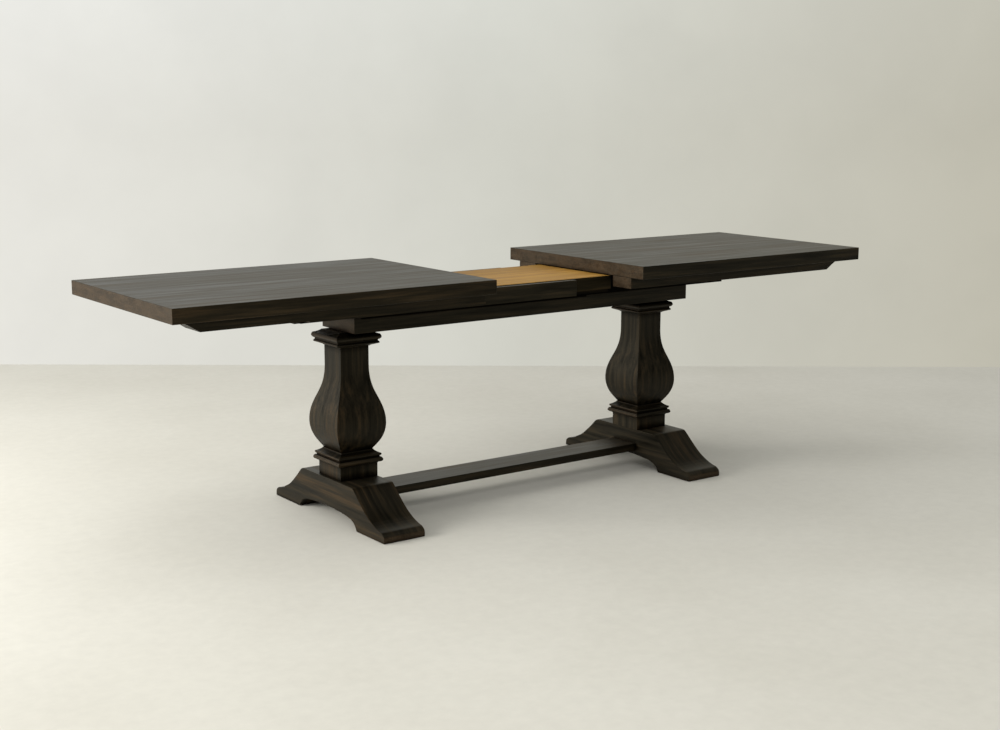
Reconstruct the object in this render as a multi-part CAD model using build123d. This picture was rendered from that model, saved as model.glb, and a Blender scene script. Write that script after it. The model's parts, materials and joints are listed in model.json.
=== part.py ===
"""Extendable trestle dining table: two sliding tops over a fixed base that stores a folded leaf.

Millimetres. +X runs along the table, +Y to the back, +Z up. The origin is on the floor under the
middle of the gap between the two tops, and the table is drawn pulled fully open.
"""
import math
import os
from build123d import *

os.makedirs("parts", exist_ok=True)

# tops
TABLE_H = 762.0
TOP_W = 722.0
TOP_T = 43.4
TOP_LEN = 1043.5
HALF_GAP = 292.2
TOP_UNDER = TABLE_H - TOP_T
TOP_END = HALF_GAP + TOP_LEN
EASE = 1.6

# aprons and rails under the tops
APRON_Z0 = 683.0
APRON_Y0 = 265.0
APRON_Y1 = 303.0
RAIL_Y0 = 211.0
SLOPE_LOW = 1232.0
SLOPE_RUN = 60.0
END_RAIL_X0 = 1160.0
END_RAIL_X1 = 1185.0

# trestle feet
FOOT_X = 613.2
FOOT_T = 143.8
FOOT_HALF = 337.3
FOOT_H = 132.0
FOOT_Z0 = 1.5
GLIDE_R = 14.0
GLIDE_H = 5.0

# pedestals
PED_X = 606.3
PLINTH_HALF = 66.5
PLINTH_Z1 = 174.0
BASE_MOULD_Z1 = 217.7
NECK_HALF = 49.8
CAP_Z0 = 545.0
BEAM_Z0 = 593.3
BEAM_Z1 = 640.5
BEAM_HALF_Y = 97.6
BEAM_X0 = -634.0
BEAM_X1 = 731.0

# stretcher board between the feet
STRETCHER_HALF = 59.0
STRETCHER_Z0 = 56.4
STRETCHER_Z1 = 82.6
TENON_HALF = 45.0
TENON_LEN = 40.0

# fixed runners on the beam, and the slides that run along them
RUNNER_X = 838.6
RUNNER_Y0 = 52.0
RUNNER_Y1 = 97.0
RUNNER_Z1 = 662.0
RUNNER_MID = (RUNNER_Y0 + RUNNER_Y1) / 2
GROOVE_D = 8.4
GROOVE_Z0 = 653.4
GROOVE_Z1 = 659.2
RUN_GAP = 0.4
TONGUE_D = 8.0
TONGUE_Z0 = 653.8
TONGUE_Z1 = 658.8
SLIDE_W = 40.6
SLIDE_Z0 = 643.8
SLIDE_Z1 = 661.5
SLIDE_INNER = 240.0
RISER_INNER = 600.0
SLIDE_OUTER = RUNNER_X - RUN_GAP
BOLT_XS = (640.0, 720.0, 800.0)
THIN_FROM = 634.0
THIN_Z0 = 650.0
RUNNER_TIP_Z0 = 643.0

# box frame around the runners; its ends stop the slides
BOARD_Y0 = 139.0
BOARD_Y1 = 155.0
BOARD_X = 848.7
BOARD_Z0 = 652.0
BOARD_Z1 = 716.0

# rack and pinion that moves both tops together
MODULE = 2.0
PINION_TEETH = 28
PITCH_R = MODULE * PINION_TEETH / 2
PRESSURE = math.radians(20)
BACKLASH = 0.45
PINION_Z0 = 644.4
PINION_Z1 = 650.4
POCKET_Z0 = 643.8
POCKET_Z1 = 651.0
POCKET_R = PITCH_R + MODULE + 1.0
AXLE_R = 3.0
AXLE_FIT = 0.06
RACK_TEETH_OUT = 52
RACK_TEETH_IN = 5
RACK_BACK = 7.5

# folded leaf and its tray
LEAF_HALF_X = 291.4
TRAY_HALF_X = 290.0
TRAY_SIDE_HALF_X = 302.0
LEAF_HALF_Y = 180.5
LEAF_T = 22.0
TRAY_T = 10.0
TRAY_Z1 = RUNNER_Z1 + TRAY_T
LEAF_Z0 = TRAY_Z1 + 0.5
LEAF_MID = LEAF_Z0 + LEAF_T
LEAF_Z1 = LEAF_Z0 + 2 * LEAF_T
TRAY_SIDE_Y0 = 181.0
TRAY_SIDE_Y1 = 189.5
STOP_X0 = 292.0
STOP_X1 = 304.0
STOP_H = 28.0

# long rails on the left half; they close the sides of the gap when the table is open
GAP_RAIL_Y0 = 190.0
GAP_RAIL_Y1 = RAIL_Y0
GAP_RAIL_Z0 = 662.0
GAP_RAIL_Z1 = 714.0
GAP_RAIL_X0 = -848.7
GAP_RAIL_X1 = 137.6
GAP_RAIL_SCREWS = (-800, -660, -520, -380)


def block(x0, x1, y0, y1, z0, z1):
    """Rectangular block between two corners."""
    size = Box(abs(x1 - x0), abs(y1 - y0), abs(z1 - z0))
    return Pos((x0 + x1) / 2, (y0 + y1) / 2, (z0 + z1) / 2) * size


def rod(x, y, z0, z1, r):
    """Upright cylinder."""
    return Pos(x, y, (z0 + z1) / 2) * Cylinder(r, abs(z1 - z0))


def merged(shapes):
    """One shape from several that stay separate solids."""
    solids = []
    for shape in shapes:
        solids.extend(shape.solids())
    return Compound(children=solids)


def cut(body, tools):
    """Body with every tool taken out of it."""
    for tool in tools:
        body = body - tool
    return body


def save(name, shape):
    """Write one node."""
    export_step(shape, "parts/" + name + ".step")


def screw_up(x, y, z_head, z_tip, r=2.5, head_r=5.0, head_h=4.0):
    """Screw driven upwards, its head at the bottom."""
    return rod(x, y, z_head, z_head + head_h, head_r) + rod(x, y, z_head + head_h, z_tip, r)


def screw_down(x, y, z_head, z_tip, r=2.5, head_r=5.0, head_h=4.0):
    """Screw driven downwards, its head at the top."""
    return rod(x, y, z_head - head_h, z_head, head_r) + rod(x, y, z_tip, z_head - head_h, r)


# ---------------------------------------------------------------- trestle feet
def foot_profile():
    """Side outline of a foot in the YZ plane: flat top, ogee to the toes, arch between two pads."""
    top = [(146, 132), (160, 128.6), (180, 112), (205, 90), (230, 70), (252, 56), (280, 42.5), (306, 34)]
    toe = [(322, 30.5), (333, 23), (337.3, 11)]
    arch = [(170.8, 14), (160, 24.5), (140.5, 32.5), (98, 38.5), (50, 42)]
    left = [(-y, z) for y, z in reversed(top)]
    with BuildSketch() as sk:
        with BuildLine():
            Line((-146, FOOT_H), (146, FOOT_H))
            Spline(*top, tangents=[(1, 0), (1, -0.24)])
            Spline(top[-1], *toe, tangents=[(1, -0.24), (0, -1)])
            Line(toe[-1], (FOOT_HALF, FOOT_Z0))
            Line((FOOT_HALF, FOOT_Z0), (178, FOOT_Z0))
            Spline((178, FOOT_Z0), *arch, (0, 43), tangents=[(-0.3, 1), (-1, 0)])
            Spline((0, 43), *[(-y, z) for y, z in reversed(arch)], (-178, FOOT_Z0),
                   tangents=[(-1, 0), (-0.3, -1)])
            Line((-178, FOOT_Z0), (-FOOT_HALF, FOOT_Z0))
            Line((-FOOT_HALF, FOOT_Z0), (-toe[-1][0], toe[-1][1]))
            Spline((-337.3, 11), (-333, 23), (-322, 30.5), left[0], tangents=[(0, 1), (1, 0.24)])
            Spline(*left, tangents=[(1, 0.24), (1, 0)])
        make_face()
    return sk.sketch


GLIDE_SPOTS = [(dx, dy) for dx in (-45, 45) for dy in (-300, -215, 215, 300)]
BOLT_YS = (-30, 30)


def tie_rod_cutter(side):
    """Hole for the tie rod, with a counterbore at each end."""
    x = side * PED_X
    hole = rod(x, 0, 20, BEAM_Z1 + 1, 5.2)
    low = rod(x, 0, 20, 60, 17)
    high = rod(x, 0, 620, BEAM_Z1 + 1, 17)
    return [hole, low, high]


def stretcher_bolts(side):
    """Bolts that hold the stretcher tenon, driven up from inside the arch."""
    x = side * (FOOT_X - FOOT_T / 2 + TENON_LEN / 2)
    return [screw_up(x, y, 48, 112, r=4.0, head_r=8.0, head_h=6.0) for y in BOLT_YS]


feet = {}
for side, label in ((-1, "left"), (1, "right")):
    foot = extrude(Plane.YZ * foot_profile(), amount=FOOT_T / 2, both=True)
    foot = Pos(side * FOOT_X, 0, 0) * foot
    inner = side * (FOOT_X - FOOT_T / 2)
    mortise = block(inner - side * 5, inner + side * TENON_LEN, -TENON_HALF, TENON_HALF,
                    STRETCHER_Z0, STRETCHER_Z1)
    glides = [rod(side * FOOT_X + dx, dy, 0, GLIDE_H, GLIDE_R) for dx, dy in GLIDE_SPOTS]
    bolts = stretcher_bolts(side)
    bolt_room = [rod(b.center().X, y, 30, 48, 9.0) for b, y in zip(bolts, BOLT_YS)]
    foot = cut(foot, [mortise] + glides + bolts + bolt_room + tie_rod_cutter(side))
    feet[label] = foot
    save("foot_" + label, foot)
    save("floor_glides_" + label, merged(glides))

save("stretcher_bolts", merged(stretcher_bolts(-1) + stretcher_bolts(1)))


# ---------------------------------------------------------------- pedestals
COLUMN = [(55.0, 217.7), (58.8, 224.0), (71.2, 243.0), (82.0, 268.0), (86.8, 292.0), (87.2, 313.0),
          (84.2, 338.0), (75.2, 370.0), (63.2, 401.5), (54.4, 433.0), (50.4, 465.0), (NECK_HALF, 497.0)]


def column_outline():
    """Front outline of a column: a square core, a bulb, then a straight neck up to the beam."""
    mirror = [(-x, z) for x, z in reversed(COLUMN)]
    with BuildSketch() as sk:
        with BuildLine():
            Line((-50, PLINTH_Z1), (50, PLINTH_Z1))
            Line((50, PLINTH_Z1), (50, BASE_MOULD_Z1))
            Line((50, BASE_MOULD_Z1), COLUMN[0])
            Spline(*COLUMN, tangents=[(0.5, 1), (0, 1)])
            Line(COLUMN[-1], (NECK_HALF, BEAM_Z0))
            Line((NECK_HALF, BEAM_Z0), (-NECK_HALF, BEAM_Z0))
            Line((-NECK_HALF, BEAM_Z0), mirror[0])
            Spline(*mirror, tangents=[(0, -1), (0.5, -1)])
            Line(mirror[-1], (-50, BASE_MOULD_Z1))
            Line((-50, BASE_MOULD_Z1), (-50, PLINTH_Z1))
        make_face()
    return sk.sketch


def column_solid():
    """Square-section column: the same outline cut from the front and from the side."""
    face = column_outline()
    front = extrude(Plane.XZ * face, amount=120, both=True)
    flank = extrude(Plane.YZ * face, amount=120, both=True)
    return front & flank


def base_mould_face():
    """Base moulding: a torus, a groove, and a smaller bead that coves in to the column."""
    with BuildSketch() as sk:
        with BuildLine():
            Polyline((50, PLINTH_Z1), (68, PLINTH_Z1), (68, 176.4), (71.5, 177.4))
            Spline((71.5, 177.4), (78, 180.2), (80.3, 185.5), (78, 190.8), (71.8, 193.6),
                   tangents=[(1, 0.1), (-1, 0.1)])
            Polyline((71.8, 193.6), (71.8, 197.2))
            Spline((71.8, 197.2), (75.2, 199.4), (76.3, 202.6), (74.6, 205.6), tangents=[(1, 0), (-1, 0.7)])
            Spline((74.6, 205.6), (66.5, 209.4), (60.4, 213.6), (57.6, BASE_MOULD_Z1),
                   tangents=[(-1, 0.25), (-0.2, 1)])
            Polyline((57.6, BASE_MOULD_Z1), (50, BASE_MOULD_Z1), (50, PLINTH_Z1))
        make_face()
    return sk.sketch


def cap_mould_face():
    """Capital moulding: a small bead, a groove, a torus and a cove up to the beam."""
    with BuildSketch() as sk:
        with BuildLine():
            Polyline((NECK_HALF, CAP_Z0), (52.4, CAP_Z0))
            Spline((52.4, CAP_Z0), (58, 548.4), (66, 551.2), (72.6, 553.4), tangents=[(0.6, 1), (1, 0.3)])
            Spline((72.6, 553.4), (75.0, 556.8), (73.4, 560.2), (71.4, 561.6), tangents=[(1, 0.4), (-1, 0.4)])
            Polyline((71.4, 561.6), (71.4, 566.0))
            Spline((71.4, 566.0), (77.4, 569.4), (79.6, 575.4), (77.6, 581.2), (73.0, 584.4),
                   tangents=[(1, 0.1), (-1, 0.3)])
            Spline((73.0, 584.4), (65.4, 587.0), (60.0, 589.8), (56.4, BEAM_Z0), tangents=[(-1, 0.2), (-0.5, 1)])
            Polyline((56.4, BEAM_Z0), (NECK_HALF, BEAM_Z0), (NECK_HALF, CAP_Z0))
        make_face()
    return sk.sketch


def mitred_frame(face, x):
    """Four lengths of one moulding, mitred at the corners, around a pedestal."""
    with BuildSketch() as sk:
        Polygon((0, 0), (110, -110), (110, 110), align=None)
    wedge = extrude(sk.sketch, amount=BEAM_Z1)
    length = extrude(Plane.XZ * face, amount=110, both=True) & wedge
    return merged([Pos(x, 0, 0) * (Rot(0, 0, 90 * k) * length) for k in range(4)])


for side, label in ((-1, "left"), (1, "right")):
    x = side * PED_X
    holes = tie_rod_cutter(side)
    plinth = block(x - PLINTH_HALF, x + PLINTH_HALF, -PLINTH_HALF, PLINTH_HALF, FOOT_H, PLINTH_Z1)
    save("plinth_block_" + label, cut(plinth, holes[:1]))
    save("column_" + label, cut(Pos(x, 0, 0) * column_solid(), holes[:1]))
    save("base_moulding_" + label, mitred_frame(base_mould_face(), x))
    save("capital_moulding_" + label, mitred_frame(cap_mould_face(), x))

rods = []
nuts = []
washers = []
for side in (-1, 1):
    x = side * PED_X
    rods.append(rod(x, 0, 47, 634, 5.0))
    for z0, z1 in ((57.4, 60.0), (620.0, 622.6)):
        washers.append(rod(x, 0, z0, z1, 13) - rod(x, 0, z0 - 1, z1 + 1, 5.0))
    for z0 in (49.0, 622.6):
        hexagon = extrude(Pos(x, 0, z0) * RegularPolygon(9.2, 6), amount=8.4)
        nuts.append(hexagon - rod(x, 0, z0 - 1, z0 + 10, 5.0))
save("tie_rods", merged(rods))
save("tie_rod_nuts_and_washers", merged(nuts + washers))


# ---------------------------------------------------------------- stretcher and beam
inner = FOOT_X - FOOT_T / 2
board = block(-inner, inner, -STRETCHER_HALF, STRETCHER_HALF, STRETCHER_Z0, STRETCHER_Z1)
board += block(-inner - TENON_LEN, inner + TENON_LEN, -TENON_HALF, TENON_HALF, STRETCHER_Z0, STRETCHER_Z1)
save("stretcher", cut(board, stretcher_bolts(-1) + stretcher_bolts(1)))

RUNNER_SCREW_XS = (-560, -340, -150, 150, 340, 560)
runner_screws = [screw_down(x, s * RUNNER_MID, 660.0, 606.0) for x in RUNNER_SCREW_XS for s in (-1, 1)]
beam = block(BEAM_X0, BEAM_X1, -BEAM_HALF_Y, BEAM_HALF_Y, BEAM_Z0, BEAM_Z1)
beam = cut(beam, runner_screws + tie_rod_cutter(-1) + tie_rod_cutter(1))
save("beam", beam)


# ---------------------------------------------------------------- fixed runners, pinions, axles
tray_screws = [screw_down(x, s * RUNNER_MID, TRAY_Z1 - 0.5, 656.0, r=2.0, head_r=3.8, head_h=3.0)
               for x in (-250, -90, 90, 250) for s in (-1, 1)]
side_screws = [screw_up(x, s * (TRAY_SIDE_Y0 + TRAY_SIDE_Y1) / 2, RUNNER_Z1 + 0.5, 700.0, r=1.5,
                        head_r=3.0, head_h=2.4) for x in (-240, -80, 80, 240) for s in (-1, 1)]

board_screws = [screw_down(x, s * (BOARD_Y0 + BOARD_Y1) / 2, TRAY_Z1 - 0.5, 654.0, r=1.5, head_r=3.0,
                           head_h=2.4) for x in (-260, -130, 0, 130, 260) for s in (-1, 1)]

for s, label in ((-1, "front"), (1, "back")):
    runner = block(-RUNNER_X, RUNNER_X, s * RUNNER_Y0, s * RUNNER_Y1, BEAM_Z1, RUNNER_Z1)
    grooves = [block(-RUNNER_X - 1, RUNNER_X + 1, s * (RUNNER_Y1 - GROOVE_D), s * (RUNNER_Y1 + 1),
                     GROOVE_Z0, GROOVE_Z1),
               block(-RUNNER_X - 1, RUNNER_X + 1, s * (RUNNER_Y0 - 1), s * (RUNNER_Y0 + GROOVE_D),
                     GROOVE_Z0, GROOVE_Z1)]
    tips = [block(-RUNNER_X - 1, BEAM_X0, s * (RUNNER_Y0 - 1), s * (RUNNER_Y1 + 1), BEAM_Z1, RUNNER_TIP_Z0),
            block(BEAM_X1, RUNNER_X + 1, s * (RUNNER_Y0 - 1), s * (RUNNER_Y1 + 1), BEAM_Z1, RUNNER_TIP_Z0)]
    pocket = rod(0, s * RUNNER_MID, POCKET_Z0, POCKET_Z1, POCKET_R)
    axle = rod(0, s * RUNNER_MID, BEAM_Z1 + 0.5, 657.0, AXLE_R)
    screws = [t for t in runner_screws + tray_screws if t.center().Y * s > 0]
    tops = [rod(x, s * RUNNER_MID, 660.0, RUNNER_Z1 + 1, 5.0) for x in RUNNER_SCREW_XS]
    save("fixed_runner_" + label, cut(runner, grooves + tips + [pocket, axle] + screws + tops))

save("pinion_axles", merged([rod(0, s * RUNNER_MID, BEAM_Z1 + 0.5, 657.0, AXLE_R) for s in (-1, 1)]))


def involute(angle):
    """Involute function."""
    return math.tan(angle) - angle


def gear_points():
    """Outline of the pinion with involute flanks, one tooth centred on +Y."""
    base_r = PITCH_R * math.cos(PRESSURE)
    root_r = PITCH_R - 1.25 * MODULE
    tip_r = PITCH_R + MODULE
    half = (math.pi * MODULE / 2 - BACKLASH) / 2 / PITCH_R
    radii = [base_r + (tip_r - base_r) * k / 4 for k in range(5)]
    pts = []
    for tooth in range(PINION_TEETH):
        mid = math.pi / 2 + 2 * math.pi * tooth / PINION_TEETH
        spread = [half + involute(PRESSURE) - involute(math.acos(base_r / r)) for r in radii]
        flank = [(root_r, spread[0])] + list(zip(radii, spread))
        for r, a in flank:
            pts.append((r * math.cos(mid - a), r * math.sin(mid - a)))
        for r, a in reversed(flank):
            pts.append((r * math.cos(mid + a), r * math.sin(mid + a)))
    return pts


def pinion(s):
    """Flat spur pinion with a hub bore and lightening holes."""
    with BuildSketch() as sk:
        Polygon(*gear_points(), align=None)
        Circle(AXLE_R + AXLE_FIT, mode=Mode.SUBTRACT)
        with PolarLocations(14.5, 6):
            Circle(4.5, mode=Mode.SUBTRACT)
    return Pos(0, s * RUNNER_MID, PINION_Z0) * extrude(sk.sketch, amount=PINION_Z1 - PINION_Z0)


def rack(s, outer):
    """Straight rack. The outer one serves the left top, the inner one serves the right top."""
    pitch = math.pi * MODULE
    half = (pitch / 2 - BACKLASH) / 2
    slope = math.tan(PRESSURE)
    first = -RACK_TEETH_OUT if outer else -RACK_TEETH_IN - 1
    last = RACK_TEETH_IN if outer else RACK_TEETH_OUT - 1
    root = -1.25 * MODULE
    pts = [((first) * pitch, root)]
    for k in range(first, last + 1):
        mid = (k + 0.5) * pitch
        wide = half - root * slope
        thin = half - MODULE * slope
        pts += [(mid - wide, root), (mid - thin, MODULE), (mid + thin, MODULE), (mid + wide, root)]
    end = (last + 1) * pitch
    pts += [(end, root), (end, -RACK_BACK), (first * pitch, -RACK_BACK)]
    if outer:
        line = RUNNER_MID + PITCH_R
        pts = [(x, s * (line - v)) for x, v in pts]
    else:
        line = RUNNER_MID - PITCH_R
        pts = [(x, s * (line + v)) for x, v in pts]
    with BuildSketch() as sk:
        Polygon(*pts, align=None)
    return Pos(0, 0, POCKET_Z0) * extrude(sk.sketch, amount=POCKET_Z1 - POCKET_Z0)


save("pinion_front", pinion(-1))
save("pinion_back", pinion(1))


# ---------------------------------------------------------------- leaf tray and folded leaf
tray = block(-TRAY_HALF_X, TRAY_HALF_X, -TRAY_SIDE_Y1, TRAY_SIDE_Y1, RUNNER_Z1, TRAY_Z1)
head_room = [rod(t.center().X, t.center().Y, RUNNER_Z1 - 1, RUNNER_Z1 + 0.5, 3.0) for t in side_screws]
top_room = [rod(x, s * RUNNER_MID, TRAY_Z1 - 0.5, TRAY_Z1 + 1, 3.8) for x in (-250, -90, 90, 250)
            for s in (-1, 1)]
top_room += [rod(t.center().X, t.center().Y, TRAY_Z1 - 0.5, TRAY_Z1 + 1, 3.0) for t in board_screws]
save("leaf_tray_bottom", cut(tray, tray_screws + side_screws + board_screws + head_room + top_room))
save("base_screws", merged(runner_screws + tray_screws + side_screws + board_screws))

# box frame: two long boards notched for the tray, and two end boards between them
for s, label in ((-1, "front"), (1, "back")):
    board = block(-BOARD_X, BOARD_X, s * BOARD_Y0, s * BOARD_Y1, BOARD_Z0, BOARD_Z1)
    notch = block(-STOP_X0, STOP_X0, s * (BOARD_Y0 - 1), s * (BOARD_Y1 + 1), RUNNER_Z1, BOARD_Z1 + 1)
    save("frame_board_" + label, cut(board, [notch] + [t for t in board_screws if t.center().Y * s > 0]))
ends = [block(side * RUNNER_X, side * BOARD_X, -BOARD_Y0, BOARD_Y0, BOARD_Z0, BOARD_Z1) for side in (-1, 1)]
save("frame_end_boards", merged(ends))

HINGE_XS = (-200, 0, 200)


def leaf_hinge(x):
    """Concealed barrel hinge: a barrel in the edge of each leaf half and a link between them."""
    edge = LEAF_HALF_Y
    barrels = []
    for z in (LEAF_MID - 11, LEAF_MID + 11):
        barrels.append(Pos(x, edge - 13, z) * (Rot(90, 0, 0) * Cylinder(6.0, 26)))
    link = block(x - 2.5, x + 2.5, edge, edge + 5, LEAF_MID - 15, LEAF_MID + 15)
    return barrels[0] + barrels[1] + link


hinges = [leaf_hinge(x) for x in HINGE_XS]
save("leaf_hinges", merged(hinges))
for s, label in ((-1, "front"), (1, "back")):
    strip = block(-TRAY_SIDE_HALF_X, TRAY_SIDE_HALF_X, s * TRAY_SIDE_Y0, s * TRAY_SIDE_Y1, TRAY_Z1, LEAF_Z1 - 0.5)
    notches = [block(x - 7, x + 7, TRAY_SIDE_Y0 - 1, TRAY_SIDE_Y0 + 7, TRAY_Z1, LEAF_Z1) for x in HINGE_XS]
    save("leaf_tray_side_" + label, cut(strip, side_screws + (notches if s > 0 else [])))

lower = block(-LEAF_HALF_X, LEAF_HALF_X, -LEAF_HALF_Y, LEAF_HALF_Y, LEAF_Z0, LEAF_MID)
upper = block(-LEAF_HALF_X, LEAF_HALF_X, -LEAF_HALF_Y, LEAF_HALF_Y, LEAF_MID, LEAF_Z1)
save("leaf_half_lower", cut(lower, hinges))
save("leaf_half_upper", cut(upper, hinges))

pads = [rod(x, s * y, TRAY_Z1, LEAF_Z0, 12) for x in (-230, 0, 230) for y in (45, 150) for s in (-1, 1)]
save("leaf_felt_pads", merged(pads))

stops = [block(sx * STOP_X0, sx * STOP_X1, s * 56, s * 93, RUNNER_Z1, RUNNER_Z1 + STOP_H)
         for sx in (-1, 1) for s in (-1, 1)]
save("leaf_stop_blocks", merged(stops))


# ---------------------------------------------------------------- sliding halves
APRON_SCREW_XS = (350, 560, 780, 1000, 1200)


def sloped_rail(side, y0, y1, x_inner, z0):
    """Rail under a top. Its outer end is cut to a hollow slope and its inner end is square."""
    rise = TOP_UNDER - z0
    outline = [(side * x_inner, z0), (side * SLOPE_LOW, z0), (side * (SLOPE_LOW + 26), z0 + 0.46 * rise),
               (side * (SLOPE_LOW + 42), z0 + 0.71 * rise), (side * (SLOPE_LOW + 52), z0 + 0.84 * rise),
               (side * (SLOPE_LOW + SLOPE_RUN), TOP_UNDER), (side * x_inner, TOP_UNDER)]
    with BuildSketch() as sk:
        Polygon(*outline, align=None)
    solid = extrude(Plane.XZ * sk.sketch, amount=(y1 - y0) / 2, both=True)
    return Pos(0, (y0 + y1) / 2, 0) * solid


def up_screws(xs, ys, side):
    """Screws through a rail into the top above it."""
    return [screw_up(side * x, y, APRON_Z0 + 8, TABLE_H - 22) for x in xs for y in ys]


def screw_out(x, s):
    """Countersunk screw through a long rail into the inner rail beside it."""
    z = (GAP_RAIL_Z1 + APRON_Z0) / 2
    shaft = Pos(x, s * (GAP_RAIL_Y0 + 23), z) * (Rot(90, 0, 0) * Cylinder(2.0, 44))
    head = Pos(x, s * (GAP_RAIL_Y0 + 1), z) * (Rot(90, 0, 0) * Cylinder(4.0, 2))
    return shaft + head


def sliding_half(side, label):
    """Everything that moves with one top."""
    left = side < 0
    edge = side * HALF_GAP
    top = block(edge, side * TOP_END, -TOP_W / 2, TOP_W / 2, TOP_UNDER, TABLE_H)
    top = fillet(top.edges(), EASE)
    ys_apron = [s * (APRON_Y0 + APRON_Y1) / 2 for s in (-1, 1)]
    rail_y0 = RAIL_Y0 if left else RAIL_Y0 + RUN_GAP
    ys_rail = [s * (rail_y0 + APRON_Y0) / 2 for s in (-1, 1)]
    screws = up_screws(APRON_SCREW_XS, ys_apron, side) + up_screws(APRON_SCREW_XS, ys_rail, side)
    end_mid = (END_RAIL_X0 + END_RAIL_X1) / 2
    screws += up_screws((end_mid,), (-120, 0, 120), side)
    lane = RUNNER_Y1 + RUN_GAP if left else RUNNER_Y0 - RUN_GAP - SLIDE_W
    mid = lane + SLIDE_W / 2
    bolts = [screw_up(side * x, s * mid, THIN_Z0 + 1.5, TABLE_H - 22, r=3.0, head_r=6.0)
             for x in BOLT_XS for s in (-1, 1)]
    save("table_top_" + label, cut(top, screws + bolts))
    side_screws = [screw_out(x, s) for x in GAP_RAIL_SCREWS for s in (-1, 1)] if left else []
    save("apron_screws_" + label, merged(screws + side_screws))
    save("slide_bolts_" + label, merged(bolts))
    mouths = [rod(t.center().X, t.center().Y, APRON_Z0 - 1, APRON_Z0 + 8, 5.5) for t in screws]
    heads = [rod(t.center().X, t.center().Y, SLIDE_Z0 - 1, THIN_Z0 + 1.5, 6.5) for t in bolts]
    end_rail = block(side * END_RAIL_X0, side * END_RAIL_X1, -rail_y0, rail_y0, APRON_Z0, TOP_UNDER)
    save("end_rail_" + label, cut(end_rail, screws + mouths))
    racks = []
    risers = []
    for s, place in ((-1, "front"), (1, "back")):
        tools = [t for t in screws + mouths + bolts + heads + side_screws if t.center().Y * s > 0]
        apron = sloped_rail(side, min(s * APRON_Y0, s * APRON_Y1), max(s * APRON_Y0, s * APRON_Y1),
                            HALF_GAP, APRON_Z0)
        save("apron_" + label + "_" + place, cut(apron, tools))
        rail = sloped_rail(side, min(s * rail_y0, s * APRON_Y0), max(s * rail_y0, s * APRON_Y0),
                           HALF_GAP, APRON_Z0)
        save("inner_rail_" + label + "_" + place, cut(rail, tools))
        if left:
            gap_rail = block(GAP_RAIL_X0, GAP_RAIL_X1, s * GAP_RAIL_Y0, s * GAP_RAIL_Y1,
                             GAP_RAIL_Z0, GAP_RAIL_Z1)
            save("gap_rail_" + place, cut(gap_rail, tools))
        riser = block(side * RISER_INNER, side * SLIDE_OUTER, s * lane, s * (lane + SLIDE_W),
                      SLIDE_Z1, TOP_UNDER)
        risers.append(cut(riser, tools))
        slide = block(-side * SLIDE_INNER, side * SLIDE_OUTER, s * lane, s * (lane + SLIDE_W),
                      SLIDE_Z0, SLIDE_Z1)
        if left:
            face = RUNNER_Y1 + RUN_GAP
            tongue = block(-side * SLIDE_INNER, side * SLIDE_OUTER, s * (face - TONGUE_D), s * face,
                           TONGUE_Z0, TONGUE_Z1)
            back = RUNNER_MID + PITCH_R + RACK_BACK
            x0, x1 = -RACK_TEETH_OUT, RACK_TEETH_IN + 1
        else:
            face = RUNNER_Y0 - RUN_GAP
            tongue = block(-side * SLIDE_INNER, side * SLIDE_OUTER, s * face, s * (face + TONGUE_D),
                           TONGUE_Z0, TONGUE_Z1)
            back = RUNNER_MID - PITCH_R - RACK_BACK
            x0, x1 = -RACK_TEETH_IN - 1, RACK_TEETH_OUT
        thin = block(side * THIN_FROM, side * (SLIDE_OUTER + 1), s * (lane - 1), s * (lane + SLIDE_W + 1),
                     SLIDE_Z0 - 1, THIN_Z0)
        pitch = math.pi * MODULE
        recess = block(x0 * pitch, x1 * pitch, s * face, s * back, POCKET_Z0, POCKET_Z1)
        save("slide_" + label + "_" + place, cut(slide + tongue, tools + [recess, thin]))
        racks.append(rack(s, left))
    save("rack_" + label, merged(racks))
    save("slide_risers_" + label, merged(risers))


sliding_half(-1, "left")
sliding_half(1, "right")
print(len(os.listdir("parts")), "nodes")
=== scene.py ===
"""Extendable trestle dining table: materials, floor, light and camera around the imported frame.

Every visible piece is a CAD node. Each wooden one gets its own material, so that no two pieces
show the same grain. Lengths are in metres and colours are linear RGB.
"""
import json
import math

import bpy
import bmesh
from mathutils import Matrix, Vector

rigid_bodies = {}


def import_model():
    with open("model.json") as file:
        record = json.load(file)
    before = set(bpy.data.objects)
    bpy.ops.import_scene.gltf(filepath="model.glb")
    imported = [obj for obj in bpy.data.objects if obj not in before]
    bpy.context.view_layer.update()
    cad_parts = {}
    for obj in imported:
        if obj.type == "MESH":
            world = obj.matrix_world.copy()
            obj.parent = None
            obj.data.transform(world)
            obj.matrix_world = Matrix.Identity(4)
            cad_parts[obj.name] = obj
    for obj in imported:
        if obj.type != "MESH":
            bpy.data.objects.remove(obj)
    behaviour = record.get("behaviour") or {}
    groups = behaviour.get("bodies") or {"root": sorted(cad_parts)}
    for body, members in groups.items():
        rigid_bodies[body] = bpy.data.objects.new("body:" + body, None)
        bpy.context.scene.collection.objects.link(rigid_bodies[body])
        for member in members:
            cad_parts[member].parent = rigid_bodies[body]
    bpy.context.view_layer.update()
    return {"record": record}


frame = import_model()
scene = bpy.context.scene

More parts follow.
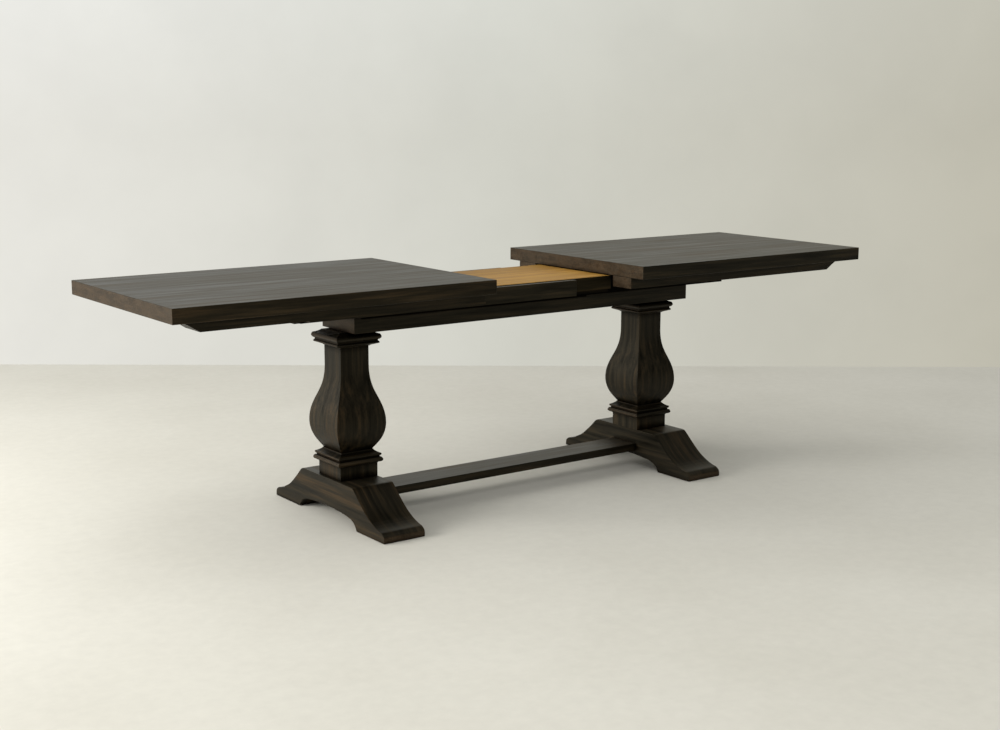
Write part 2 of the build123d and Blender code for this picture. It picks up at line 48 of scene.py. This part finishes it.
# ------------------------------------------------------------------ wood
# ramps, as (place, colour)
WHITE = (1.0, 1.0, 1.0)
STAIN_STREAKS = [(0.32, (0.0026, 0.0022, 0.0011)), (0.50, (0.0084, 0.0062, 0.0028)),
                 (0.70, (0.0300, 0.0190, 0.0080))]
STAIN_TONES = [(0.30, (0.70, 0.74, 0.74)), (0.50, WHITE), (0.70, (1.42, 1.22, 1.06))]
STAIN_PORES = [(0.36, (0.45, 0.44, 0.42)), (0.50, WHITE)]
END_SPECKS = [(0.36, (0.0085, 0.0055, 0.0030)), (0.50, (0.030, 0.0195, 0.0110)),
              (0.66, (0.070, 0.046, 0.027))]
END_RINGS = [(0.35, (0.70, 0.68, 0.66)), (0.65, (1.25, 1.20, 1.15))]
# colour of the painted shade in grooves and corners
CREVICE_SHADE = (0.12, 0.11, 0.10)
STAIN_TINT = (1.0, 0.91, 0.70, 1.0)

HONEY_STREAKS = [(0.30, (0.250, 0.120, 0.020)), (0.50, (0.395, 0.216, 0.044)),
                 (0.72, (0.490, 0.302, 0.080))]
HONEY_TONES = [(0.30, (0.80, 0.76, 0.70)), (0.70, (1.16, 1.14, 1.10))]
HONEY_PORES = [(0.34, (0.66, 0.60, 0.52)), (0.46, WHITE)]
HONEY_TINT = (1.0, 0.84, 0.50, 1.0)

# ranges, as (low, high)
UNIT = (0.0, 1.0)
STAIN_VALUES = (0.30, 0.70)      # streak values that the stain's finish is spread over
STAIN_ROUGHNESS = (0.32, 0.60)
STAIN_GLOSS = (0.22, 0.52)
PAINTED_SHEEN_SHARE = (0.56, 1.56)         # share of the gloss on the sides and on the tops of pieces; the sides get less, as painted shade on their sheen
HONEY_VALUES = (0.25, 0.75)
HONEY_ROUGHNESS = (0.46, 0.62)
TRAY_GLOSS = (0.12, 0.25)        # a tray side's stained faces and its pale top edge
SIDE_FADE = (0.6, 0.8)           # how squarely a face must lie to an axis
END_FADE = (0.86, 0.95)
TOP_FADE = (0.90, 0.97)

# how far the painted shade in grooves reaches, as (reach, power)
MOULDED_CREVICE = (0.024, 3.0)
PLAIN_CREVICE = (0.014, 1.6)
EDGE_RADIUS = 0.0012
DULLED = 0.72                    # the darker spots of worn metal

# first input, second input and output of a Mix node, by the kind of data it mixes
MIX_SOCKETS = {"VECTOR": (4, 5, 1), "RGBA": (6, 7, 2)}


# ------------------------------------------------------------------ node helpers
def new_material(name):
    """Empty node material with a Principled shader wired to its output."""
    mat = bpy.data.materials.new(name)
    mat.use_nodes = True
    tree = mat.node_tree
    tree.nodes.clear()
    out = tree.nodes.new("ShaderNodeOutputMaterial")
    shader = tree.nodes.new("ShaderNodeBsdfPrincipled")
    tree.links.new(shader.outputs["BSDF"], out.inputs["Surface"])
    return mat, tree, shader


def feed(tree, socket, value):
    """Link another node's output to a socket, or set a fixed value on it."""
    if isinstance(value, bpy.types.NodeSocket):
        tree.links.new(value, socket)
    else:
        socket.default_value = value


def position(tree):
    """Object coordinates, which for every piece are the frame's own metres."""
    return tree.nodes.new("ShaderNodeTexCoord").outputs["Object"]


def ramp(tree, source, stops):
    """Colour ramp over a value, from (place, colour) stops."""
    node = tree.nodes.new("ShaderNodeValToRGB")
    tree.links.new(source, node.inputs["Fac"])
    elements = node.color_ramp.elements
    while len(elements) > 1:
        elements.remove(elements[-1])
    elements[0].position = stops[0][0]
    elements[0].color = stops[0][1] + (1,)
    for place, colour in stops[1:]:
        elements.new(place).color = colour + (1,)
    return node.outputs["Color"]


def noise(tree, vector, scale, detail, rough, distortion=0.0):
    """Noise value over a vector."""
    node = tree.nodes.new("ShaderNodeTexNoise")
    node.inputs["Scale"].default_value = scale
    node.inputs["Detail"].default_value = detail
    node.inputs["Roughness"].default_value = rough
    node.inputs["Distortion"].default_value = distortion
    tree.links.new(vector, node.inputs["Vector"])
    return node.outputs["Fac"]


def maths(tree, operation, a, b=None):
    """One maths node."""
    node = tree.nodes.new("ShaderNodeMath")
    node.operation = operation
    feed(tree, node.inputs[0], a)
    if b is not None:
        feed(tree, node.inputs[1], b)
    return node.outputs["Value"]


def span(tree, value, source, target):
    """Map one (low, high) range to another, and hold the value inside it."""
    node = tree.nodes.new("ShaderNodeMapRange")
    tree.links.new(value, node.inputs["Value"])
    for key, number in zip(("From Min", "From Max", "To Min", "To Max"), source + target):
        node.inputs[key].default_value = number
    return node.outputs["Result"]


def mix(tree, factor, a, b, mode="MIX", kind="RGBA"):
    """Mix two colours, or two vectors."""
    node = tree.nodes.new("ShaderNodeMix")
    node.data_type = kind
    node.blend_type = mode
    first, second, result = MIX_SOCKETS[kind]
    feed(tree, node.inputs[0], factor)
    feed(tree, node.inputs[first], a)
    feed(tree, node.inputs[second], b)
    return node.outputs[result]


def times(tree, colour, stops, source, amount=1.0):
    """Multiply a colour by a ramp over a value."""
    return mix(tree, amount, colour, ramp(tree, source, stops), "MULTIPLY")


def bump(tree, height, strength, distance, normal=None):
    """Bump node, on top of another normal where there is one."""
    node = tree.nodes.new("ShaderNodeBump")
    node.inputs["Strength"].default_value = strength
    node.inputs["Distance"].default_value = distance
    tree.links.new(height, node.inputs["Height"])
    if normal is not None:
        tree.links.new(normal, node.inputs["Normal"])
    return node.outputs["Normal"]


def facing(tree, axis, fade=SIDE_FADE, both_ways=True):
    """One on faces whose normal lies along an axis, zero on the rest."""
    normal = tree.nodes.new("ShaderNodeNewGeometry").outputs["True Normal"]
    split = tree.nodes.new("ShaderNodeSeparateXYZ")
    tree.links.new(normal, split.inputs["Vector"])
    value = split.outputs[axis]
    if both_ways:
        value = maths(tree, "ABSOLUTE", value)
    return span(tree, value, fade, UNIT)


def along(tree, vector, direction):
    """Length of a vector along a fixed direction."""
    node = tree.nodes.new("ShaderNodeVectorMath")
    node.operation = "DOT_PRODUCT"
    tree.links.new(vector, node.inputs[0])
    node.inputs[1].default_value = direction
    return node.outputs["Value"]


def squeezed(tree, offset, scale):
    """Object position, scaled and moved."""
    node = tree.nodes.new("ShaderNodeMapping")
    node.inputs["Scale"].default_value = scale
    node.inputs["Location"].default_value = offset
    tree.links.new(position(tree), node.inputs["Vector"])
    return node.outputs["Vector"]


def grain_space(tree, axis, offset, stretch, follow=False):
    """Object position squeezed along the grain, so that noise runs out into streaks.

    With follow, the streaks of a curved foot run down its slopes too.
    """
    scale = [1.0, 1.0, 1.0]
    scale["XYZ".index(axis)] = stretch
    straight = squeezed(tree, offset, scale)
    if not follow:
        return straight
    scale[2] = 2 * stretch
    return mix(tree, facing(tree, "X"), squeezed(tree, offset, scale), straight, kind="VECTOR")


def painted_crevice_shade(tree, reach, power):
    """One in the open, falling towards zero in grooves and corners, for painted shade there."""
    node = tree.nodes.new("ShaderNodeAmbientOcclusion")
    node.samples = 8
    node.inputs["Distance"].default_value = reach
    return maths(tree, "POWER", node.outputs["AO"], power)


def eased(tree):
    """Normal that rounds sharp edges over slightly."""
    node = tree.nodes.new("ShaderNodeBevel")
    node.samples = 4
    node.inputs["Radius"].default_value = EDGE_RADIUS
    return node.outputs["Normal"]


# ------------------------------------------------------------------ materials
def stain_colour(tree, axis, offset, follow=False):
    """Dark espresso stain over open-pored wood. Returns colour, streak and pore values."""
    grain = grain_space(tree, axis, offset, 0.045, follow)
    broad = noise(tree, grain, scale=8.0, detail=3.0, rough=0.5, distortion=0.4)
    streak = noise(tree, grain, scale=62.0, detail=5.0, rough=0.62, distortion=0.2)
    fine_grain = grain_space(tree, axis, offset, 0.02, follow)
    pore = noise(tree, fine_grain, scale=420.0, detail=3.0, rough=0.6)
    col = times(tree, ramp(tree, streak, STAIN_STREAKS), STAIN_TONES, broad)
    return times(tree, col, STAIN_PORES, pore, amount=0.75), streak, pore


def stained_wood(name, axis, offset, light, moulded, follow):
    """Dark stained wood with grain along one axis and speckled end grain across it.

    Light is 1 for a piece in the open and less for one in the dark under the top; it darkens the
    piece's colour and gloss as painted shade.
    """
    mat, tree, shader = new_material(name)
    col, streak, pore = stain_colour(tree, axis, offset, follow)
    plain = grain_space(tree, axis, offset, 1.0)
    speck = noise(tree, plain, scale=520.0, detail=3.0, rough=0.7)
    ring_space = grain_space(tree, "X" if axis == "Y" else "Y", offset, 0.25)
    rings = noise(tree, ring_space, scale=60.0, detail=3.0, rough=0.5)
    ends = times(tree, ramp(tree, speck, END_SPECKS), END_RINGS, rings)
    col = mix(tree, facing(tree, axis, END_FADE), col, ends)
    # painted shade: colour darkened in grooves and corners, and over the whole of a piece in the
    # dark under the top
    open_part = painted_crevice_shade(tree, *(MOULDED_CREVICE if moulded else PLAIN_CREVICE))
    col = times(tree, col, [(0.0, CREVICE_SHADE), (1.0, (light, light, light))], open_part)
    tree.links.new(col, shader.inputs["Base Color"])
    tree.links.new(span(tree, streak, STAIN_VALUES, STAIN_ROUGHNESS), shader.inputs["Roughness"])
    # painted shade on the sheen: less gloss on the sides than on the tops, in grooves, and on
    # pieces in the dark
    upward = facing(tree, "Z", TOP_FADE, both_ways=False)
    painted_sheen = span(tree, upward, UNIT, tuple(share * light for share in PAINTED_SHEEN_SHARE))
    gloss = maths(tree, "MULTIPLY", span(tree, streak, STAIN_VALUES, STAIN_GLOSS), open_part)
    tree.links.new(maths(tree, "MULTIPLY", gloss, painted_sheen), shader.inputs["Specular IOR Level"])
    shader.inputs["Specular Tint"].default_value = STAIN_TINT
    streaked = bump(tree, streak, strength=0.45, distance=0.0008, normal=eased(tree))
    pored = bump(tree, pore, strength=0.40, distance=0.0004, normal=streaked)
    tree.links.new(pored, shader.inputs["Normal"])
    return mat


def natural_colour(tree, axis, offset):
    """Honey-coloured wood. Returns colour, streak and pore values."""
    grain = grain_space(tree, axis, offset, 0.05)
    broad = noise(tree, grain, scale=12.0, detail=3.0, rough=0.5, distortion=0.6)
    streak = noise(tree, grain, scale=60.0, detail=6.0, rough=0.6, distortion=0.3)
    fine_grain = grain_space(tree, axis, offset, 0.02)
    pore = noise(tree, fine_grain, scale=380.0, detail=3.0, rough=0.6)
    col = times(tree, ramp(tree, streak, HONEY_STREAKS), HONEY_TONES, broad)
    return times(tree, col, HONEY_PORES, pore, amount=0.6), streak, pore


def natural_wood(name, axis, offset, stained_sides):
    """Clear-lacquered pale wood; a tray side is pale on its top edge only."""
    mat, tree, shader = new_material(name)
    col, streak, pore = natural_colour(tree, axis, offset)
    shader.inputs["Specular IOR Level"].default_value = 0.22
    if stained_sides:
        upward = facing(tree, "Z", both_ways=False)
        col = mix(tree, upward, stain_colour(tree, axis, offset)[0], col)
        tree.links.new(span(tree, upward, UNIT, TRAY_GLOSS), shader.inputs["Specular IOR Level"])
    tree.links.new(col, shader.inputs["Base Color"])
    tree.links.new(span(tree, streak, HONEY_VALUES, HONEY_ROUGHNESS), shader.inputs["Roughness"])
    shader.inputs["Specular Tint"].default_value = HONEY_TINT
    streaked = bump(tree, streak, strength=0.15, distance=0.0005)
    pored = bump(tree, pore, strength=0.25, distance=0.0003, normal=streaked)
    tree.links.new(pored, shader.inputs["Normal"])
    return mat


def metal(name, colour, roughness):
    """Worn plated metal."""
    mat, tree, shader = new_material(name)
    pos = position(tree)
    grain = noise(tree, pos, scale=300.0, detail=4.0, rough=0.6)
    spots = noise(tree, pos, scale=40.0, detail=3.0, rough=0.5)
    spot_colour = tuple(c * DULLED for c in colour)
    col = ramp(tree, spots, [(0.3, spot_colour), (0.65, colour)])
    tree.links.new(col, shader.inputs["Base Color"])
    shader.inputs["Metallic"].default_value = 1.0
    tree.links.new(span(tree, grain, UNIT, roughness), shader.inputs["Roughness"])
    surface = bump(tree, grain, strength=0.1, distance=0.0002)
    tree.links.new(surface, shader.inputs["Normal"])
    return mat


def dull(name, dark, pale, roughness, scale, distance):
    """Felt or moulded plastic with a fine grain."""
    mat, tree, shader = new_material(name)
    grain = noise(tree, position(tree), scale=scale, detail=5.0, rough=0.65)
    tree.links.new(ramp(tree, grain, [(0.3, dark), (0.7, pale)]), shader.inputs["Base Color"])
    shader.inputs["Roughness"].default_value = roughness
    surface = bump(tree, grain, strength=0.5, distance=distance)
    tree.links.new(surface, shader.inputs["Normal"])
    return mat


shared = {
    "zinc_steel": metal("zinc_plate", (0.62, 0.62, 0.60), roughness=(0.28, 0.46)),
    "brass": metal("brass_satin", (0.72, 0.50, 0.20), roughness=(0.24, 0.40)),
    "nylon": dull("nylon_glide", (0.012, 0.011, 0.010), (0.030, 0.028, 0.026),
                  roughness=0.55, scale=900.0, distance=0.0002),
    "felt": dull("felt_pad", (0.030, 0.024, 0.018), (0.075, 0.060, 0.045),
                 roughness=0.95, scale=1400.0, distance=0.0006),
}

# starts of node names; the grain of a piece in neither of the first two runs along X
UPRIGHT = ("column", "plinth_block")
ACROSS = ("foot_", "end_rail", "leaf_stop", "frame_end")
MOULDED = UPRIGHT + ("capital_moulding", "base_moulding")
# painted shade: factors that darken the colour and gloss of pieces in the dark under the top
INSIDE_PAINTED_SHADE = {"slide_": 0.12, "frame_board": 0.10, "leaf_tray_bottom": 0.25}
GRAIN_STEP = (3.17, 1.93, 2.71)  # moves each piece to another place in the grain
GRAIN_WRAP = (7.0, 5.0, 6.0)

slots = {entry["node"]: entry["material_slot"] for entry in frame["record"]["subparts"]}
for count, node in enumerate(sorted(slots)):
    slot = slots[node]
    offset = tuple(count * step % wrap for step, wrap in zip(GRAIN_STEP, GRAIN_WRAP))
    axis = "Z" if node.startswith(UPRIGHT) else "Y" if node.startswith(ACROSS) else "X"
    if slot == "dark_stained_wood":
        light = min([1.0] + [v for start, v in INSIDE_PAINTED_SHADE.items() if node.startswith(start)])
        mat = stained_wood("stain_" + node, axis, offset, light,
                           moulded=node.startswith(MOULDED), follow=node.startswith("foot_"))
    elif slot == "natural_wood":
        mat = natural_wood("natural_" + node, axis, offset,
                           stained_sides=node.startswith("leaf_tray_side"))
    else:
        mat = shared[slot]
    materials = bpy.data.objects[node].data.materials
    materials.clear()
    materials.append(mat)


# ------------------------------------------------------------------ directions of the room
EYE = Vector((-2.9036, -3.9478, 1.3259))
YAW = math.radians(36.18)
PITCH = math.radians(10.52)
ROLL = math.radians(0.16)
LENS = 53.56584                  # mm, on a sensor of this width
SENSOR = 36.0
UP = Vector((0.0, 0.0, 1.0))
ahead = Vector((math.sin(YAW), math.cos(YAW), 0.0))
aside = Vector((math.cos(YAW), -math.sin(YAW), 0.0))

# ------------------------------------------------------------------ floor
FLOOR_NEAR = -14.0               # along ahead, from the eye
FLOOR_FAR = 7.12
FLOOR_HALF_WIDTH = 16.0
FLOOR_CLOUDS = [(0.30, (0.690, 0.678, 0.622)), (0.70, (0.752, 0.742, 0.688))]
FLOOR_FINE = [(0.30, (0.95, 0.95, 0.95)), (0.70, (1.05, 1.05, 1.05))]

mesh = bpy.data.meshes.new("floor")
bm = bmesh.new()
outline = ((FLOOR_NEAR, -FLOOR_HALF_WIDTH), (FLOOR_NEAR, FLOOR_HALF_WIDTH),
           (FLOOR_FAR, FLOOR_HALF_WIDTH), (FLOOR_FAR, -FLOOR_HALF_WIDTH))
corners = [EYE + ahead * depth + aside * side for depth, side in outline]
bm.faces.new([bm.verts.new((c.x, c.y, 0.0)) for c in corners])
bm.to_mesh(mesh)
bm.free()
floor = bpy.data.objects.new("floor", mesh)
scene.collection.objects.link(floor)

mat, tree, shader = new_material("pale_floor")
pos = position(tree)
clouds = noise(tree, pos, scale=1.3, detail=5.0, rough=0.55)
fine = noise(tree, pos, scale=26.0, detail=4.0, rough=0.6)
# painted light: paler towards the front and the left
painted_light_by_depth = span(tree, along(tree, pos, ahead), (-3.0, 3.2), (1.17, 0.92))
painted_light_by_side = span(tree, along(tree, pos, aside), (-2.5, 2.5), (-0.06, -0.15))
painted_floor_light = maths(tree, "ADD", painted_light_by_depth, painted_light_by_side)
grey = tree.nodes.new("ShaderNodeCombineColor")
for channel in ("Red", "Green", "Blue"):
    tree.links.new(painted_floor_light, grey.inputs[channel])
col = mix(tree, 1.0, ramp(tree, clouds, FLOOR_CLOUDS), grey.outputs["Color"], "MULTIPLY")
col = times(tree, col, FLOOR_FINE, fine, amount=0.5)
tree.links.new(col, shader.inputs["Base Color"])
shader.inputs["Roughness"].default_value = 0.75
shader.inputs["Specular IOR Level"].default_value = 0.2
floor.data.materials.append(mat)

# ------------------------------------------------------------------ surroundings
WALL_ACROSS = [(0.0, (0.865, 0.862, 0.822)), (0.5, (0.672, 0.678, 0.622)),
               (1.0, (0.545, 0.530, 0.450))]
WALL_FOOT = [(0.0, (0.93, 0.92, 0.90)), (1.0, WHITE)]
WALL_BLOTCHES = [(0.35, (0.975, 0.975, 0.975)), (0.65, (1.03, 1.03, 1.03))]
BEHIND = [(0.0, (0.20, 0.20, 0.19)), (1.0, WHITE)]
SKY_COLOUR = (1.09, 1.08, 1.04, 1.0)
SKY_DIRECTION = (-0.33, -0.36, 0.87)

world = bpy.data.worlds.new("studio")
scene.world = world
world.use_nodes = True
tree = world.node_tree
tree.nodes.clear()
out = tree.nodes.new("ShaderNodeOutputWorld")
back = tree.nodes.new("ShaderNodeBackground")
tree.links.new(back.outputs["Background"], out.inputs["Surface"])
ray = tree.nodes.new("ShaderNodeTexCoord").outputs["Generated"]
across = span(tree, along(tree, ray, aside), (-0.34, 0.34), UNIT)
height = span(tree, along(tree, ray, UP), (-0.03, 0.06), UNIT)
blotches = noise(tree, ray, scale=9.0, detail=5.0, rough=0.6)
forwards = span(tree, along(tree, ray, ahead), (0.10, 0.80), UNIT)
overhead = span(tree, along(tree, ray, SKY_DIRECTION), (0.28, 0.95), UNIT)
col = times(tree, ramp(tree, across, WALL_ACROSS), WALL_FOOT, height)
col = times(tree, col, WALL_BLOTCHES, blotches)
col = times(tree, col, BEHIND, forwards)
tree.links.new(mix(tree, overhead, col, SKY_COLOUR), back.inputs["Color"])


# ------------------------------------------------------------------ lights
def area(name, location, target, size, power, colour):
    """Soft rectangular light of (width, height) aimed at a point, itself out of sight."""
    data = bpy.data.lights.new(name, "AREA")
    data.shape = "RECTANGLE"
    data.size, data.size_y = size
    data.energy = power
    data.color = colour
    lamp = bpy.data.objects.new(name, data)
    scene.collection.objects.link(lamp)
    lamp.location = location
    aim = Vector(target) - Vector(location)
    lamp.rotation_euler = aim.to_track_quat("-Z", "Y").to_euler()
    lamp.visible_camera = False


area("window", location=(-7.9, 2.6, 2.5), target=(0.0, 0.0, 0.4), size=(6.0, 3.2),
     power=510, colour=(1.0, 0.97, 0.91))
area("key", location=(-3.2, 1.3, 1.7), target=(-1.2, 0.0, 0.55), size=(1.8, 1.5),
     power=36, colour=(1.0, 0.975, 0.93))

# ------------------------------------------------------------------ camera
cam_data = bpy.data.cameras.new("camera")
cam_data.sensor_width = SENSOR
cam_data.lens = LENS
cam = bpy.data.objects.new("camera", cam_data)
scene.collection.objects.link(cam)
forward = ahead * math.cos(PITCH) - UP * math.sin(PITCH)
level_up = aside.cross(forward)
right = aside * math.cos(ROLL) + level_up * math.sin(ROLL)
up = level_up * math.cos(ROLL) - aside * math.sin(ROLL)
rows = [[right[k], up[k], -forward[k], EYE[k]] for k in range(3)]
cam.matrix_world = Matrix(rows + [[0, 0, 0, 1]])
scene.camera = cam
scene.view_settings.view_transform = "Standard"
